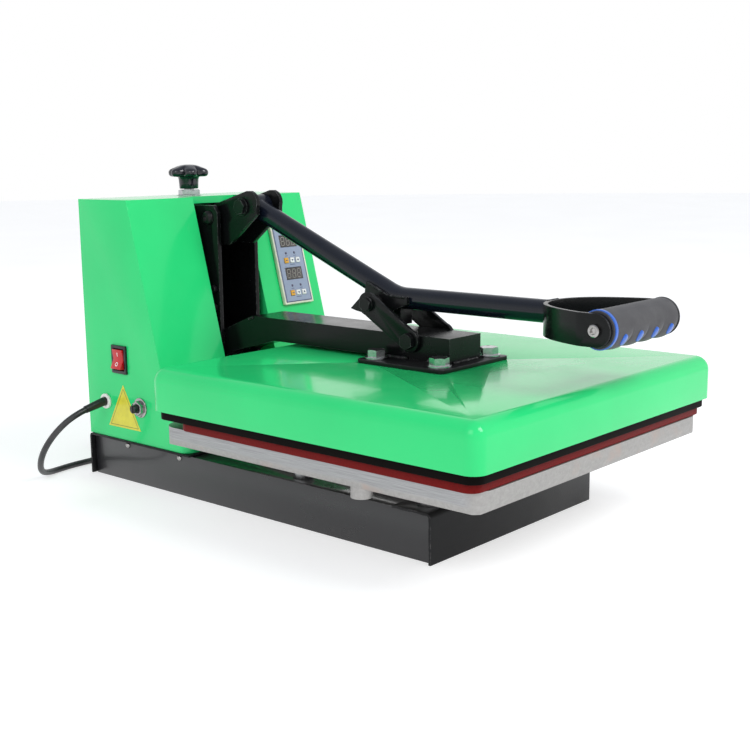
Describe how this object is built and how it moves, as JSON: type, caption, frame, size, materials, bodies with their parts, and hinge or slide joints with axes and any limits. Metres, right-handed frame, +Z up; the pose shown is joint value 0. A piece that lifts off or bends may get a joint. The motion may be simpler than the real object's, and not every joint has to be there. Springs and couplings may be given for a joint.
{
  "type": "heat press",
  "caption": "Clamshell heat press: a heated upper platen on a hinged arm closes onto a padded lower platen, worked by a toggle handle with a pressure knob and a side control panel.",
  "frame": {"origin": "middle of the footprint at the surface the press stands on, without its power cord", "axes": "+Z up, operator and handle at -Y, control panel on the +X wing, switch and cord on the -X side"},
  "size_m": [0.408, 0.763, 0.351],
  "materials": {
    "black_paint": "glossy black paint",
    "green_paint": "glossy green paint",
    "cast_aluminium": "machined and ground casting",
    "steel": "bare steel",
    "zinc": "bright zinc plate",
    "silicone": "soft red silicone",
    "platen_coating": "dark release coating",
    "wool": "ceramic wool",
    "element": "heat-stained sheath",
    "cream_plastic": "moulded",
    "panel_print": "blue-grey overlay",
    "display": "smoked display window",
    "lamp": "lamp lens",
    "board": "circuit board",
    "relay": "moulded",
    "black_plastic": "moulded black",
    "white_plastic": "moulded white",
    "red_plastic": "moulded red",
    "nickel": "nickel plate",
    "cord_pvc": "black cord sheath",
    "knob_plastic": "moulded black",
    "grip_foam": "soft grey rubber",
    "blue_plastic": "moulded blue",
    "yellow_button": "moulded yellow",
    "white_button": "moulded white"
  },
  "bodies": {
    "root": {"base_rail_left": "black_paint", "base_rail_right": "black_paint", "base_channel_front": "black_paint", "base_deck": "black_paint", "base_cross_bars": "black_paint", "base_screws": "zinc", "housing": "green_paint", "housing_back_panel": "green_paint", "housing_screws": "zinc", "tower_left": "black_paint", "tower_right": "black_paint", "tower_cap": "black_paint", "tower_bolts": "black_paint", "arm_hinge_shaft": "steel", "knob_collar": "zinc", "lower_plate": "cast_aluminium", "table_posts": "steel", "silicone_pad": "silicone", "panel_bezel": "cream_plastic", "panel_face": "panel_print", "panel_displays": "display", "panel_lamps": "lamp", "circuit_board": "board", "heater_relay": "relay", "switch_frame": "black_plastic", "fuse_holder": "nickel", "cord_gland": "white_plastic", "strain_relief": "cord_pvc", "power_cord": "cord_pvc", "cord_coil": "cord_pvc", "power_plug": "cord_pvc"},
    "pressure_head": {"head_block": "black_paint", "handle_pivot_bolt": "black_paint"},
    "knob": {"pressure_knob": "knob_plastic", "pressure_screw": "steel"},
    "handle": {"handle_tube": "black_paint", "handle_lugs": "black_paint", "handle_fork": "black_paint", "grip": "grip_foam", "grip_caps": "blue_plastic", "grip_rod": "zinc", "link_upper_sleeve": "steel"},
    "link": {"toggle_link": "black_paint", "link_bolts": "black_paint"},
    "arm": {"arm_tube": "black_paint", "mount_plate": "black_paint", "mount_bolts": "zinc", "cover": "green_paint", "insulation": "wool", "heat_platen": "platen_coating", "heating_element": "element", "temperature_sensor": "zinc"},
    "rocker": {"rocker": "red_plastic"},
    "fuse_cap": {"fuse_cap": "black_plastic"},
    "set_upper": {"set_button_upper": "yellow_button"},
    "down_upper": {"down_button_upper": "white_button"},
    "up_upper": {"up_button_upper": "white_button"},
    "set_lower": {"set_button_lower": "yellow_button"},
    "down_lower": {"down_button_lower": "white_button"},
    "up_lower": {"up_button_lower": "white_button"}
  },
  "joints": [
    {"name": "head_slide", "type": "slide", "parent": "root", "child": "pressure_head", "axis": [0, 0, 1], "range_m": [-0.00088, 0.0035]},
    {"name": "knob_turn", "type": "hinge", "parent": "pressure_head", "child": "knob", "pos_m": [0, 0.284, 0.33], "axis": [0, 0, 1], "range_deg": [-180.1, 720]},
    {"name": "handle_swing", "type": "hinge", "parent": "pressure_head", "child": "handle", "pos_m": [0, 0.171, 0.3048], "axis": [-1, 0, 0], "range_deg": [0, 53.81]},
    {"name": "arm_swing", "type": "hinge", "parent": "root", "child": "arm", "pos_m": [0, 0.219, 0.143], "axis": [-1, 0, 0], "range_deg": [0, 36]},
    {"name": "link_swing", "type": "hinge", "parent": "arm", "child": "link", "pos_m": [0, -0.076, 0.179], "axis": [-1, 0, 0], "range_deg": [-112.38, 0]},
    {"name": "rocker_tilt", "type": "hinge", "parent": "root", "child": "rocker", "pos_m": [-0.131, 0.2555, 0.1395], "axis": [0, -1, 0], "range_deg": [0, 16]},
    {"name": "fuse_cap_turn", "type": "hinge", "parent": "root", "child": "fuse_cap", "pos_m": [-0.138, 0.2225, 0.089], "axis": [-1, 0, 0], "range_deg": [0, 90]},
    {"name": "set_upper_press", "type": "slide", "parent": "root", "child": "set_upper", "axis": [0, -0.9678, 0.2516], "range_m": [-0.0006, 0], "stiffness_N_per_m": 400},
    {"name": "down_upper_press", "type": "slide", "parent": "root", "child": "down_upper", "axis": [0, -0.9678, 0.2516], "range_m": [-0.0006, 0], "stiffness_N_per_m": 400},
    {"name": "up_upper_press", "type": "slide", "parent": "root", "child": "up_upper", "axis": [0, -0.9678, 0.2516], "range_m": [-0.0006, 0], "stiffness_N_per_m": 400},
    {"name": "set_lower_press", "type": "slide", "parent": "root", "child": "set_lower", "axis": [0, -0.9678, 0.2516], "range_m": [-0.0006, 0], "stiffness_N_per_m": 400},
    {"name": "down_lower_press", "type": "slide", "parent": "root", "child": "down_lower", "axis": [0, -0.9678, 0.2516], "range_m": [-0.0006, 0], "stiffness_N_per_m": 400},
    {"name": "up_lower_press", "type": "slide", "parent": "root", "child": "up_lower", "axis": [0, -0.9678, 0.2516], "range_m": [-0.0006, 0], "stiffness_N_per_m": 400}
  ],
  "couplings": [
    {"joint": "knob_turn", "follows": "head_slide", "rad_per_m": 3590},
    {"joint": "handle_swing", "follows": "arm_swing", "ratio": 1.4947},
    {"joint": "link_swing", "follows": "arm_swing", "ratio": -3.1217}
  ]
}
